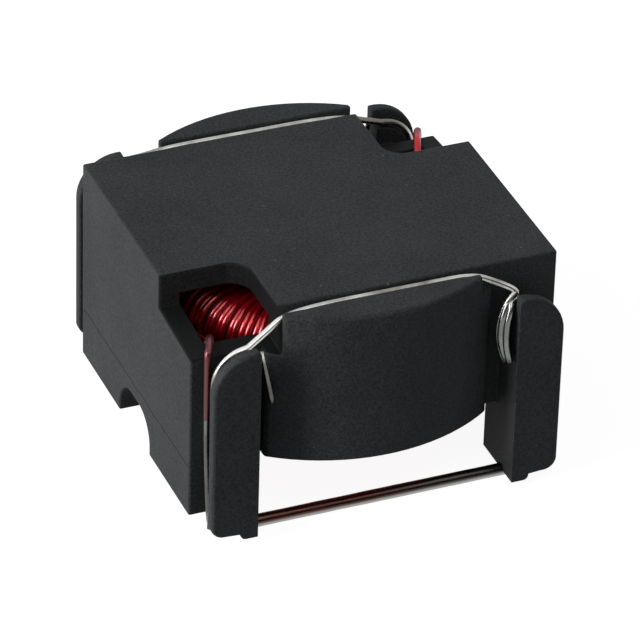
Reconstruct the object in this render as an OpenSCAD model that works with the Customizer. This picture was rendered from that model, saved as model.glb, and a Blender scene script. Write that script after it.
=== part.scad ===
// Surface mount inductor: a wire-wound ring core under a moulded cap that stands on its own wire ends.
// The origin is on the board, under the centre of the cap. The part is the same turned half round.

/* [Ring core] */
// Outer diameter of the bare ring
core_od = 13.3; // [11:0.1:15]
// Diameter of the ring's hole
core_id = 7.6; // [6:0.1:9]
// Height of the ring
core_h = 5.1; // [4:0.1:7]
// Rounding of the ring's edges
core_edge = 0.4; // [0.2:0.05:0.8]

/* [Winding] */
// Diameter of the enamelled wire
wire_d = 0.3; // [0.25:0.01:0.36]
// Thickness of the wound layer over the ring
layer = 0.41; // [0.36:0.01:0.6]
// Number of ridges round the ring, which stand for the turns of the outer layer
turns = 104; // [60:1:120]
// Angle left bare between the first and the last turn, degrees
bare_angle = 10; // [6:1:30]
// Room between the layer and the ring
core_room = 0.04; // [0.03:0.01:0.1]

/* [Cap] */
// Depth of the cap over its flat end walls
body_d = 13.64; // [12.6:0.02:14.2]
// Height of the end walls' lower edge above the board
rim_z = 3.43; // [2.8:0.01:4.2]
// Thickness of the flat walls
wall = 1; // [0.8:0.05:1.3]
// Thickness of the roof
roof = 1.1; // [0.9:0.05:1.5]
// Room between the winding and the side walls
side_room = 0.4; // [0.3:0.05:0.8]
// Room between the winding's top and the roof
top_room = 0.8; // [0.03:0.01:1.2]
// How far the winding stays above the end walls' lower edge, less than zero where it hangs below it
skirt = -0.53; // [-1:0.01:0.8]

/* [Round walls] */
// Room between the winding and the round walls
round_room = 0.7; // [0.5:0.05:1]
// Thickness of the round walls
round_wall = 1.2; // [1:0.05:1.5]
// How far the round walls reach past the room inside them
cheek = 1; // [0.4:0.02:1.2]
// Width of the wire slot between the roof and each round wall
slot_w = 0.56; // [0.5:0.02:0.6]
// Depth of the wire slot
slot_deep = 0.8; // [0.6:0.05:1]

/* [Corner notches] */
// Width of the notch along the end wall
notch_w = 3.9; // [3.4:0.05:4.4]
// Depth of the notch along the side wall
notch_d = 3.89; // [3:0.05:4.5]
// Rounding of the notch's inner corner
notch_r = 0.95; // [0.4:0.05:1.4]
// Drop from the roof to the cut wall, at the notch's inner edge
notch_drop = 1.63; // [1.4:0.05:2]
// Further fall of the cut wall towards the corner
notch_fall = 0.32; // [0.1:0.02:0.6]

/* [Side feet] */
// Clearance of the side walls' feet above the board
foot_z = 0.75; // [0.6:0.05:1]
// Width of the arch between the feet
arch_w = 3.74; // [2.8:0.1:6]
// Height of the arch
arch_h = 1.82; // [1.2:0.02:2.4]
// Rounding of the arch's shoulders
arch_r = 1.4; // [0.5:0.1:1.4]

/* [Wire posts] */
// Width of a post
post_w = 2.15; // [1.9:0.05:2.5]
// Thickness of a post
post_t = 0.54; // [0.4:0.02:0.8]
// How far a post's outer edge lies inside the side wall's face
post_inset = 0.35; // [0.1:0.05:0.6]
// How far a post's face lies behind the crown of the round wall
post_setback = 0.26; // [0:0.02:0.4]
// Least room for the wires between an end wall and the posts
wire_lane = 1.25; // [1.2:0.05:1.3]
// Drop from the roof to the top of a post
post_drop = 0.92; // [0.6:0.05:1.2]
// Height of a post's lower end above the board
post_z = 0.62; // [0.6:0.02:0.9]
// Rounding of a post's outer lower corner
heel_r = 0.6; // [0.1:0.05:0.7]
// Radius of a post's shoulder
shoulder_r = 1.95; // [1.4:0.05:2]
// How far the drum behind the shoulder is smaller than it, to seat the wire
drum_step = 0.6; // [0.4:0.02:0.7]
// Thickness of the drum
drum_t = 0.7; // [0.5:0.02:0.8]
// How far the wire on the drum lies behind the post
drum_gap = 0.55; // [0.25:0.05:0.6]
// Thickness of the web behind a post
web_t = 0.8; // [0.7:0.05:1]
// How far the web reaches behind the end wall's inner face
web_reach = 0.22; // [0.1:0.02:0.6]
// Height of the web's sole above the board
web_z = 0.35; // [0.2:0.05:0.5]
// Rounding of the web's outer lower edge
web_r = 0.25; // [0.1:0.05:0.4]
// Drop from the roof to the web's top
web_drop = 2.4; // [2.2:0.1:3]

/* [Terminals] */
// Diameter of the soldered bar on the board
bar_d = 0.58; // [0.5:0.02:0.66]
// Room between a wire and the plastic beside it
wire_room = 0.05; // [0.04:0.01:0.06]
// Height above the board where the enamel ends and the tinning starts
tin_z = 5.85; // [4:0.1:7]
// Height above the board of the cut ends beside a post
cut_z = 6.6; // [5:0.1:7.5]

/* [Hidden] */
$fn = 96;
plastic = "#33353a";
ferrite = "#3c3a3a";
enamel = "#a81a22";
tin = "#c9ccd0";
// A cut reaches this far past the face that it opens
over = 1;

// The wound ring
coil_t = core_room + layer;
coil_r = core_od / 2 + coil_t;
coil_in = core_id / 2 - coil_t;
coil_h = core_h + 2 * coil_t;
coil_z = rim_z + skirt + coil_h / 2;
coil_edge = core_edge + coil_t;
ridge = wire_d / 3;

// The cap, from the wound ring outwards
roof_z = coil_z + coil_h / 2 + top_room;
top_z = roof_z + roof;
room_x = coil_r + side_room;
half_w = room_x + wall;
half_d = body_d / 2;
room_y = half_d - wall;
round_in = coil_r + round_room;
round_out = round_in + round_wall;
pass_room = 0.1;
pass_x = sqrt(pow(coil_r + pass_room, 2) - pow(room_y, 2));
round_x = pass_x + cheek;
tip_x = half_w - notch_w;
notch_y = half_d - notch_d;

// The posts
post_out = half_w - post_inset;
post_in = post_out - post_w;
post_back = max(round_out - post_setback - post_t, half_d + wire_lane);
post_y = post_back + post_t;
post_top = top_z - post_drop;
web_y = room_y - web_reach;
shoulder_x = post_out - shoulder_r;
shoulder_z = post_top - shoulder_r;
drum_r = shoulder_r - drum_step;
drum_back = post_back - drum_t;

// The wire's places beside the posts: wires run half a diameter and a little room from the plastic
wire_r = wire_d / 2;
off = wire_r + wire_room;
bar_r = bar_d / 2;
bar_out = 0.7;
bar_y = half_d + bar_out;
riser_in = 0.35;
riser_x = post_out - riser_in;
riser_y = half_d + off;
drum_x = shoulder_x + drum_r + off;
drum_y = post_back - drum_gap;
drum_z = shoulder_z + drum_r + off;
inner_x = post_in - off;
slot_y = half_d + slot_w / 2;
slot_dip = top_z - slot_deep / 2;
slot_crown = top_z - wire_r - wire_room;

// Turned half round, for what the part has twice
module twice() {
    children();
    rotate([0, 0, 180]) children();
}

// A block from one corner to the other
module span(from, to) {
    translate(from) cube(to - from);
}

// The bare cap: walls, roof and the two round walls
module cap_block() {
    span([-half_w, -half_d, rim_z], [half_w, half_d, top_z]);
    intersection() {
        translate([0, 0, rim_z]) cylinder(r = round_out, h = top_z - rim_z);
        span([-round_x, -round_out, rim_z], [round_x, round_out, top_z]);
    }
    twice() span([room_x, -half_d, foot_z], [half_w, half_d, rim_z + wall]);
}

// The room inside, open below
module cap_room() {
    span([-room_x, -room_y, -over], [room_x, room_y, roof_z]);
    intersection() {
        translate([0, 0, -over]) cylinder(r = round_in, h = roof_z + over);
        span([-pass_x, -round_in, -over], [pass_x, round_in, roof_z]);
    }
}

// Outline of the notch at the front left corner, with its inner corner rounded
module notch_outline() {
    corner = [-half_w - over, -half_d - over];
    size = [notch_w + over, notch_d + over];
    translate(corner) square([size.x - notch_r, size.y]);
    translate(corner) square([size.x, size.y - notch_r]);
    translate(corner + size - [notch_r, notch_r]) circle(r = notch_r);
}

// The notch: open above, with a floor that falls towards the corner
module notch() {
    fall = atan(notch_fall / notch_d);
    intersection() {
        translate([0, 0, rim_z]) linear_extrude(top_z - rim_z + over) notch_outline();
        translate([0, -notch_y, top_z - notch_drop]) rotate([fall, 0, 0])
            span([-half_w - 2 * over, -notch_d - 3 * over, 0], [0, over, notch_drop + 3 * over]);
    }
}

// The slot that holds the top wire beside the front round wall, and opens outwards where the wire leaves it
module wire_slot() {
    floor_z = top_z - slot_deep;
    span([-half_w, -half_d - slot_w, floor_z], [half_w, -half_d, top_z + over]);
    span([tip_x, -round_out, floor_z], [half_w, -half_d, top_z + over]);
}

// The arch through both side walls, between the feet
module arch() {
    rise = foot_z + arch_h - arch_r;
    flat = arch_w / 2 - arch_r;
    rotate([90, 0, 90]) linear_extrude(2 * half_w + 2 * over, center = true) {
        translate([-arch_w / 2, foot_z - over]) square([arch_w, rise - foot_z + over]);
        translate([-flat, foot_z - over]) square([2 * flat, arch_h + over]);
        for (side = [-1, 1]) translate([side * flat, rise]) circle(r = arch_r);
    }
}

// An upright oblong with its lower right corner rounded
module heeled(size, r) {
    square([size.x - r, size.y]);
    translate([0, r]) square([size.x, size.y - r]);
    translate([size.x - r, r]) circle(r = r);
}

// Outline of a post in the plane of its face
module post_outline() {
    translate([post_in, post_z]) heeled([post_w, shoulder_z - post_z], heel_r);
    intersection() {
        translate([post_in, post_z]) square([post_w, post_top - post_z]);
        translate([shoulder_x, shoulder_z]) circle(r = shoulder_r);
    }
}

// Outline of the drum that the wire bends over, cut off level with the post's inner edge
module drum_outline() {
    intersection() {
        translate([post_in, shoulder_z - drum_r]) square(2 * drum_r);
        translate([shoulder_x, shoulder_z]) circle(r = drum_r);
    }
}

// An outline in the plane of the posts' faces, filled from the depth near to the depth far
module upright(near, far) {
    translate([0, -near, 0]) rotate([90, 0, 0]) linear_extrude(far - near) children();
}

// A post at the front right corner, with its drum and the web that joins it to the cap
module post() {
    upright(post_back, post_y) post_outline();
    upright(drum_back, post_back) drum_outline();
    upright(web_y, post_y) translate([post_in, web_z]) heeled([web_t, top_z - web_drop - web_z], web_r);
}

// The groove in both front webs' soles where the bar lies
module bar_groove() {
    translate([0, -bar_y, bar_r]) rotate([0, 90, 0])
        cylinder(r = bar_r + wire_room, h = 2 * half_w, center = true);
}

// Moulded cap: one piece with its feet, posts and webs
module cap() {
    color(plastic) difference() {
        union() {
            difference() {
                cap_block();
                cap_room();
                twice() notch();
                twice() wire_slot();
                arch();
            }
            twice() {
                post();
                mirror([1, 0, 0]) post();
            }
        }
        twice() bar_groove();
    }
}

// Ferrite ring with rounded edges
module ring_core() {
    width = (core_od - core_id) / 2;
    color(ferrite) translate([0, 0, coil_z - core_h / 2]) rotate_extrude() translate([core_id / 2, 0]) {
        translate([core_edge, 0]) square([width - 2 * core_edge, core_h]);
        translate([0, core_edge]) square([width, core_h - 2 * core_edge]);
        for (x = [core_edge, width - core_edge], z = [core_edge, core_h - core_edge])
            translate([x, z]) circle(r = core_edge);
    }
}

// The wound layer's section: a point on the rounded oblong at each of its corners' angles, moved in by inset
corner_steps = 3;
section = [for (corner = [0:3], step = [0:corner_steps]) [corner, corner * 90 + step * 90 / corner_steps]];
function section_point(k, inset) =
    let (corner = section[k][0], angle = section[k][1], e = coil_edge)
    let (far = corner == 0 || corner == 3, high = corner < 2)
    let (r = far ? coil_r - e : coil_in + e, z = (high ? 1 : -1) * (coil_h / 2 - e))
    [r + (e - inset) * cos(angle), z + (e - inset) * sin(angle)];
function section_ring(turn_angle, inset) = [for (k = [0:len(section) - 1])
    let (p = section_point(k, inset))
    [p[0] * cos(turn_angle), p[0] * sin(turn_angle), coil_z + p[1]]];

// Two triangles for each cell of a grid of rings, where every ring is a closed loop
function grid_faces(rings, sides, first, flip) = [for (i = [0:rings - 2], k = [0:sides - 1])
    let (a = first + i * sides + k, b = first + i * sides + (k + 1) % sides)
    each flip ? [[b, a, b + sides], [b + sides, a, a + sides]]
              : [[a, b, b + sides], [a, b + sides, a + sides]]];

// Enamelled winding: a ridge for each turn, hollow where the ring passes through
module winding() {
    sides = len(section);
    rings = 2 * turns + 1;
    tunnel_rings = 43;
    wound = 360 - bare_angle;
    start = bare_angle / 2;
    skin = [for (i = [0:rings - 1]) section_ring(start + wound * i / (rings - 1), i % 2 == 0 ? ridge : 0)];
    tunnel = [for (i = [0:tunnel_rings - 1]) section_ring(start + wound * i / (tunnel_rings - 1), layer)];
    points = [each for (ring = skin) ring, each for (ring = tunnel) ring];
    second = rings * sides;
    last_skin = (rings - 1) * sides;
    last_tunnel = second + (tunnel_rings - 1) * sides;
    caps = [for (k = [0:sides - 1]) let (n = (k + 1) % sides) each [
        [n, k, second + n],
        [second + n, k, second + k],
        [last_skin + k, last_skin + n, last_tunnel + k],
        [last_tunnel + k, last_skin + n, last_tunnel + n]]];
    faces = concat(
        grid_faces(rings, sides, 0, false),
        grid_faces(tunnel_rings, sides, second, true),
        caps);
    color(enamel) polyhedron(points, faces);
}

// A wire's route is a list of [x, y, z, radius]. Cutting its corners twice bends it smoothly
function cut_corners(route) = let (n = len(route)) [
    route[0],
    each [for (i = [0:n - 2], share = [0.25, 0.75]) route[i] * (1 - share) + route[i + 1] * share],
    route[n - 1]];
function place(p) = [p[0], p[1], p[2]];
function unit(v) = v / norm(v);
function wire_ring(route, i, aside, sides) =
    let (n = len(route), ahead = place(route[min(i + 1, n - 1)]), behind = place(route[max(i - 1, 0)]))
    let (along = unit(ahead - behind), u = unit(cross(along, aside)), v = cross(along, u))
    [for (k = [0:sides - 1]) let (angle = k * 360 / sides)
        place(route[i]) + route[i][3] * (u * cos(angle) + v * sin(angle))];

// A round wire along a route. aside is a direction that the wire never runs in
module wire(corners, aside) {
    sides = 8;
    route = cut_corners(cut_corners(corners));
    n = len(route);
    points = [for (i = [0:n - 1]) each wire_ring(route, i, aside, sides)];
    ends = [[for (k = [0:sides - 1]) k], [for (k = [sides - 1:-1:0]) (n - 1) * sides + k]];
    polyhedron(points, concat(ends, grid_faces(n, sides, 0, true)));
}

// Enamelled lead: from the winding's shoulder, along the side wall, over the cut end wall and down its face
lead_x = room_x - off - 0.02;
lead_z = top_z - notch_drop - notch_fall + off + 0.12;
lead_turn = coil_r + off;
lead_start = 2.3;
lead_route = [
    [-sqrt(pow(lead_turn, 2) - pow(lead_start, 2)), -lead_start, coil_z + coil_h / 2 - 1.3, wire_r],
    [-lead_x + 0.1, -notch_y - 0.6, coil_z + coil_h / 2 - 1.1, wire_r],
    [-lead_x, -notch_y - 2.1, lead_z - 0.3, wire_r],
    [-lead_x - 0.1, -room_y + 0.1, lead_z, wire_r],
    [-lead_x - 0.3, -half_d + 0.1, lead_z, wire_r],
    [-riser_x, -riser_y, lead_z, wire_r],
    [-riser_x, -riser_y, lead_z - 1.2, wire_r],
    [-riser_x, -riser_y, tin_z, wire_r]];
module lead() {
    color(enamel) wire(lead_route, [1, 0, 0]);
}
module front_lead() {
    lead();
}
module rear_lead() {
    rotate([0, 0, 180]) lead();
}

// First strand: from the lead down behind the left post, under both webs as the bar, up behind the right
// post, over its drum and down the inner face to a cut end
seam = 0.02;
bar_bend = 0.75;
bar_end = post_in + web_t + 0.1;
first_route = [
    [-riser_x, -riser_y, tin_z - seam, wire_r],
    [-riser_x, -riser_y, tin_z - 1.2, wire_r],
    [-riser_x, -riser_y - 0.12, rim_z, wire_r],
    [-riser_x, -bar_y + 0.14, bar_d + bar_bend, wire_r],
    [-riser_x + 0.1, -bar_y, bar_r, wire_r],
    [-bar_end, -bar_y, bar_r, bar_r],
    [-post_in, -bar_y, bar_r, bar_r],
    [0, -bar_y, bar_r, bar_r],
    [post_in, -bar_y, bar_r, bar_r],
    [bar_end, -bar_y, bar_r, bar_r],
    [riser_x - 0.1, -bar_y, bar_r, wire_r],
    [riser_x, -bar_y + 0.14, bar_d + bar_bend, wire_r],
    [riser_x, -riser_y - 0.12, rim_z, wire_r],
    [riser_x, -riser_y - 0.1, shoulder_z - 1.2, wire_r],
    [drum_x, -drum_y + 0.05, shoulder_z + 0.2, wire_r],
    [drum_x - 0.25, -drum_y - 0.2, drum_z - 0.5, wire_r],
    [shoulder_x + 0.6, -drum_y - 0.3, drum_z - 0.02, wire_r],
    [post_in + 0.1, -drum_y - 0.27, drum_z + 0.03, wire_r],
    [inner_x + 0.03, -post_back + 0.17, drum_z - 0.05, wire_r],
    [inner_x - 0.06, -post_back - 0.08, drum_z - 0.25, wire_r],
    [inner_x - 0.23, -post_back - 0.22, cut_z + 1.85, wire_r],
    [inner_x - 0.09, -post_back - 0.25, cut_z + 0.06, wire_r]];

// Second strand: up behind the left post, over its drum, through the slot to the right post, and down beside
// the first one
second_route = [
    [-riser_x - 0.1, -post_back + 0.3, bar_d + 0.1, wire_r],
    [-drum_x, -drum_y, bar_d + 1.9, wire_r],
    [-drum_x, -drum_y, shoulder_z - 1, wire_r],
    [-drum_x, -drum_y, shoulder_z + 0.6, wire_r],
    [-shoulder_x - drum_r + 0.35, -drum_y, drum_z - 0.05, wire_r],
    [-shoulder_x - 0.1, -drum_y, drum_z + 0.02, wire_r],
    [-post_in + 0.05, -drum_y, drum_z + 0.02, wire_r],
    [-post_in + 0.25, -drum_y + 0.1, drum_z + 0.1, wire_r],
    [-tip_x - 0.4, -slot_y - 0.1, slot_dip - 0.35, wire_r],
    [-tip_x + 0.3, -slot_y, slot_dip, wire_r],
    [-tip_x / 2, -slot_y, slot_crown, wire_r],
    [0, -slot_y, slot_crown, wire_r],
    [tip_x / 2, -slot_y, slot_crown, wire_r],
    [tip_x - 0.2, -slot_y, slot_dip + 0.2, wire_r],
    [tip_x + 0.75, -slot_y - 0.3, slot_dip - 0.15, wire_r],
    [post_in + 0.2, -drum_y - 0.2, drum_z + 0.4, wire_r],
    [inner_x - 0.02, -drum_y - 0.2, drum_z + 0.32, wire_r],
    [inner_x - 0.25, -drum_y - 0.27, drum_z + 0.02, wire_r],
    [inner_x - 0.45, -drum_y - 0.45, cut_z + 1.75, wire_r],
    [inner_x - 0.19, -drum_y - 0.5, cut_z - 0.05, wire_r]];

// Third strand: a short cut end that springs away from behind the left post
spring = 0.62;
third_route = [
    [-inner_x + 0.08, -post_back + 0.25, drum_z - 0.13, wire_r],
    [-inner_x + 0.18, -post_back + 0.25, drum_z - 0.58, wire_r],
    [-inner_x + spring, -post_back + 0.25, cut_z + 0.14, wire_r]];

// Tinned terminal: the strands are one group round a pair of posts
module terminal() {
    color(tin) {
        wire(first_route, [0, 1, 0]);
        wire(second_route, [0, 1, 0]);
        wire(third_route, [0, 1, 0]);
    }
}
module front_terminal() {
    terminal();
}
module rear_terminal() {
    rotate([0, 0, 180]) terminal();
}

cap();
ring_core();
winding();
front_lead();
rear_lead();
front_terminal();
rear_terminal();
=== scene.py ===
import math
import random

import bmesh
import bpy
from mathutils import Matrix, Vector


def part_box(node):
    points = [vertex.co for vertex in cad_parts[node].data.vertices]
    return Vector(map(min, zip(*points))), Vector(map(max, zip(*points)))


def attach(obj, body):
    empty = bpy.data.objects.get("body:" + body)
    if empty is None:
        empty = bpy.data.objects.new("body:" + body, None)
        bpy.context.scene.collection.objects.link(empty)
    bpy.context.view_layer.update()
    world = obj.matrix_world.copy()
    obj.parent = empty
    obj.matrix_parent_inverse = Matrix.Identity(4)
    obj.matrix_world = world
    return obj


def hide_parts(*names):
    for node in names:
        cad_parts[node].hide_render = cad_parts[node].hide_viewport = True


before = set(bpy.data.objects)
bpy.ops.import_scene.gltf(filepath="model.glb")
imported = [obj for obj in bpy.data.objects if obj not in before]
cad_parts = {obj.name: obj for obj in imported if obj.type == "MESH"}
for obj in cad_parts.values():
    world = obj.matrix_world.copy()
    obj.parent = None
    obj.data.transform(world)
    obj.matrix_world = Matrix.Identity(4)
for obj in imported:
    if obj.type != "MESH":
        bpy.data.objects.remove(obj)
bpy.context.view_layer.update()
mm = 0.001
colourA, colourB, colourOut = 6, 7, 2  # sockets of a Mix node that mixes colours
lowest, highest, drawn = 2, 3, 1  # sockets of a Random Value node that draws floats


def toLinear(hexText):
    shares = [int(hexText[i:i + 2], 16) / 255 for i in (1, 3, 5)]
    return [s / 12.92 if s <= 0.04045 else ((s + 0.055) / 1.055) ** 2.4 for s in shares] + [1.0]


def setInputs(tree, node, inputs):
    for key, value in inputs.items():
        if isinstance(value, bpy.types.NodeSocket):
            tree.links.new(value, node.inputs[key])
        else:
            node.inputs[key].default_value = value


def addNode(tree, kind, settings=None, inputs=None, stops=None):
    node = tree.nodes.new(kind)
    for name, value in (settings or {}).items():
        setattr(node, name, value)
    setInputs(tree, node, inputs or {})
    if stops:  # places and hex colours along a colour ramp
        marks = node.color_ramp.elements
        while len(marks) < len(stops):
            marks.new(0.5)
        for mark, (place, hexText) in zip(marks, stops):
            mark.position, mark.color = place, toLinear(hexText)
    return node


def between(limits, unit=1.0):  # where a Map Range starts and where it is complete
    return {"From Min": limits[0] * unit, "From Max": limits[1] * unit}


def startMaterial(name):
    material = bpy.data.materials.new(name)
    material.use_nodes = True
    tree = material.node_tree
    where = addNode(tree, "ShaderNodeTexCoord").outputs["Object"]
    return material, tree, tree.nodes["Principled BSDF"], where


# Moulded thermoset, black with mineral filler: dull charcoal that hardly shines, a fine even grain, broad clouds
# from the flow in the mould and a few pale filler specks. The grain is drawn coarser than its real 0.03 mm, to show
plastic = {"fine": 0.11, "cloud": 3.2, "speck": 0.55, "relief": 0.012,  # mm
           "cloudShare": 0.35, "tones": (0.43, 0.93), "dullTones": (0.4, 0.94), "duller": 0.14, "bump": 0.3,
           "speckEdge": (0.05, 0.13), "speckShow": 0.8, "speckRare": 0.9, "notchShade": (0.1, 0.8), "gloss": 0.08}


def mouldedThermoset(name, dark, pale, speck, rough, shadeShare=None):
    material, tree, shader, where = startMaterial(name)
    fine = addNode(tree, "ShaderNodeTexNoise", None,
                   {"Vector": where, "Scale": 1 / (plastic["fine"] * mm), "Detail": 2.0, "Roughness": 0.6})
    cloud = addNode(tree, "ShaderNodeTexNoise", None,
                    {"Vector": where, "Scale": 1 / (plastic["cloud"] * mm), "Detail": 3.0})
    tone = addNode(tree, "ShaderNodeMath", {"operation": "MULTIPLY_ADD"},
                   {0: cloud.outputs["Fac"], 1: plastic["cloudShare"], 2: fine.outputs["Fac"]})
    body = addNode(tree, "ShaderNodeValToRGB", None, {"Fac": tone.outputs[0]},
                   list(zip(plastic["tones"], (dark, pale))))
    tint = body.outputs["Color"]
    if shadeShare:  # painted shade in the notch, which is also smoother: its sides and floor darker than its back
        notchShade = addNode(tree, "ShaderNodeAttribute", {"attribute_name": "notchShade"})
        kept = addNode(tree, "ShaderNodeMapRange", None,
                       {"Value": notchShade.outputs["Fac"], **between(plastic["notchShade"]), "To Min": 1.0, "To Max": shadeShare})
        tint = addNode(tree, "ShaderNodeVectorMath", {"operation": "SCALE"},
                       {0: tint, "Scale": kept.outputs[0]}).outputs[0]
    dots = addNode(tree, "ShaderNodeTexVoronoi", None,
                   {"Vector": where, "Scale": 1 / (plastic["speck"] * mm), "Randomness": 1.0})
    dot = addNode(tree, "ShaderNodeMapRange", None,
                  {"Value": dots.outputs["Distance"], **between(plastic["speckEdge"]),
                   "To Min": plastic["speckShow"], "To Max": 0.0})
    pick = addNode(tree, "ShaderNodeSeparateColor", None, {"Color": dots.outputs["Color"]})
    some = addNode(tree, "ShaderNodeMath", {"operation": "GREATER_THAN"},
                   {0: pick.outputs[0], 1: plastic["speckRare"]})
    fleck = addNode(tree, "ShaderNodeMath", {"operation": "MULTIPLY"}, {0: dot.outputs[0], 1: some.outputs[0]})
    colour = addNode(tree, "ShaderNodeMix", {"data_type": "RGBA"},
                     {"Factor": fleck.outputs[0], colourA: tint, colourB: toLinear(speck)})
    dull = addNode(tree, "ShaderNodeMapRange", None,
                   {"Value": tone.outputs[0], **between(plastic["dullTones"]),
                    "To Min": rough, "To Max": rough + plastic["duller"]})
    bump = addNode(tree, "ShaderNodeBump", None,
                   {"Height": fine.outputs["Fac"], "Strength": plastic["bump"], "Distance": plastic["relief"] * mm})
    setInputs(tree, shader, {"Base Color": colour.outputs[colourOut], "Roughness": dull.outputs[0],
                             "Normal": bump.outputs["Normal"], "Specular IOR Level": plastic["gloss"]})
    return material


# Polyurethane enamel on copper, drawn through a die: deep clear red over metal, so the light on a bend is a long
# pink streak and the gaps go nearly black
enamel = {"cloud": 0.9, "ripple": 0.25, "relief": 0.02, "ragged": 1.1, "heatEdge": 0.35,  # mm
          "reds": [(0.3, "#980b15"), (0.75, "#d01727")], "bump": 0.12, "metallic": 0.7,
          "ripples": (0.3, 0.7), "rough": (0.26, 0.38), "untouched": 0.995,
          "burnt": [(0.0, "#5e4a4c"), (0.2, "#5a3337"), (0.75, "#5f2a2d"), (1.0, "#5e1218")],
          "coat": {"Coat Weight": 1.0, "Coat Roughness": 0.15, "Coat IOR": 1.65},
          "heatedCoat": {"Coat Weight": 0.45, "Coat Roughness": 0.34, "Coat IOR": 1.5}}


def redEnamel(name, heat=None):
    material, tree, shader, where = startMaterial(name)
    cloud = addNode(tree, "ShaderNodeTexNoise", None,
                    {"Vector": where, "Scale": 1 / (enamel["cloud"] * mm), "Detail": 3.0})
    colour = addNode(tree, "ShaderNodeValToRGB", None, {"Fac": cloud.outputs["Fac"]}, enamel["reds"])
    ripple = addNode(tree, "ShaderNodeTexNoise", None,
                     {"Vector": where, "Scale": 1 / (enamel["ripple"] * mm), "Detail": 2.0})
    rough = addNode(tree, "ShaderNodeMapRange", None,
                    {"Value": ripple.outputs["Fac"], **between(enamel["ripples"]),
                     "To Min": enamel["rough"][0], "To Max": enamel["rough"][1]})
    bump = addNode(tree, "ShaderNodeBump", None,
                   {"Height": ripple.outputs["Fac"], "Strength": enamel["bump"], "Distance": enamel["relief"] * mm})
    base = colour.outputs["Color"]
    if heat:  # the heat of tinning bleaches and browns the last stretch
        place = addNode(tree, "ShaderNodeSeparateXYZ", None, {"Vector": where}).outputs
        ragged = addNode(tree, "ShaderNodeMath", {"operation": "MULTIPLY_ADD"},
                         {0: ripple.outputs["Fac"], 1: enamel["ragged"] * mm, 2: place["Z"]})
        burnt = addNode(tree, "ShaderNodeMapRange", None,
                        {"Value": ragged.outputs[0], **between((heat["worst"], heat["top"]), mm)})
        shades = addNode(tree, "ShaderNodeValToRGB", None, {"Fac": burnt.outputs[0]}, enamel["burnt"])
        clean = addNode(tree, "ShaderNodeMath", {"operation": "GREATER_THAN"},
                        {0: burnt.outputs[0], 1: enamel["untouched"]})
        joined = addNode(tree, "ShaderNodeMix", {"data_type": "RGBA"},
                         {"Factor": clean.outputs[0], colourA: shades.outputs["Color"], colourB: base})
        reach = addNode(tree, "ShaderNodeMath", {"operation": "ABSOLUTE"}, {0: place["Y"]})
        edge = (heat["beyond"] - enamel["heatEdge"], heat["beyond"])
        past = addNode(tree, "ShaderNodeMapRange", None, {"Value": reach.outputs[0], **between(edge, mm)})
        heated = addNode(tree, "ShaderNodeMix", {"data_type": "RGBA"},
                         {"Factor": past.outputs[0], colourA: base, colourB: joined.outputs[colourOut]})
        base = heated.outputs[colourOut]
    setInputs(tree, shader, {"Base Color": base, "Roughness": rough.outputs[0], "Normal": bump.outputs["Normal"],
                             "Metallic": enamel["metallic"], **enamel["heatedCoat" if heat else "coat"]})
    return material


# Solder tin, hot dipped: a bright skin that mirrors the dark cap beside it, with soft runs and grey patches where flux
# stayed; the warm red on the bar is painted reflection of the coil
tin = {"run": 0.7, "patch": 1.5, "pit": 0.12, "relief": 0.05,  # mm
       "greys": [(0.3, "#77736d"), (0.45, "#9a9a95"), (0.62, "#bdbeba")],
       "patches": (0.3, 0.65), "rough": (0.36, 0.22), "pitShare": 0.12, "bump": 0.3,
       # painted highlight where the strand comes over the post on the lead's side, and painted shade there at the
       # rear, mm from the middle and up
       "highlightReach": (4.0, 4.8), "highlightHeight": (8.95, 9.4), "highlightFront": "#e2e2de", "shadeRear": "#6a6862",
       # the bar on the board, mm up; painted reflection on it: pale at its sole for the bright floor, above that the
       # coil's red going to grey along it, by x times y in mm squared
       "barHeight": (0.95, 0.6), "soleHeight": (0.24, 0.34), "reflectionAcross": (4, -22),
       "sole": "#9a9a98", "reflectedRed": "#553a35", "reflectedGrey": "#484745",
       # the cut ends beside the posts, dulled by painted dark reflection, darkest on the stub, and darker still at the
       # tip, mm
       "cutBeyond": 7.85, "cutAbove": 5, "darkReflectionHeight": (9.2, 8.8), "darkReflectionShow": 0.75, "tipHeight": (6.95, 6.65),
       "pairDarkReflection": "#535957", "stubDarkReflection": "#302d28", "tip": "#2b2724",
       # darker grey on the strands behind the post towards the bottom, starting higher up on the outer one, mm
       "dimBeyond": 7.5, "dimHeight": (6.4, 4.4), "dimSlope": -4.3, "innerStrand": 7.02, "dimShow": 0.85,
       "dimGrey": "#4d4b48"}


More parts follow.
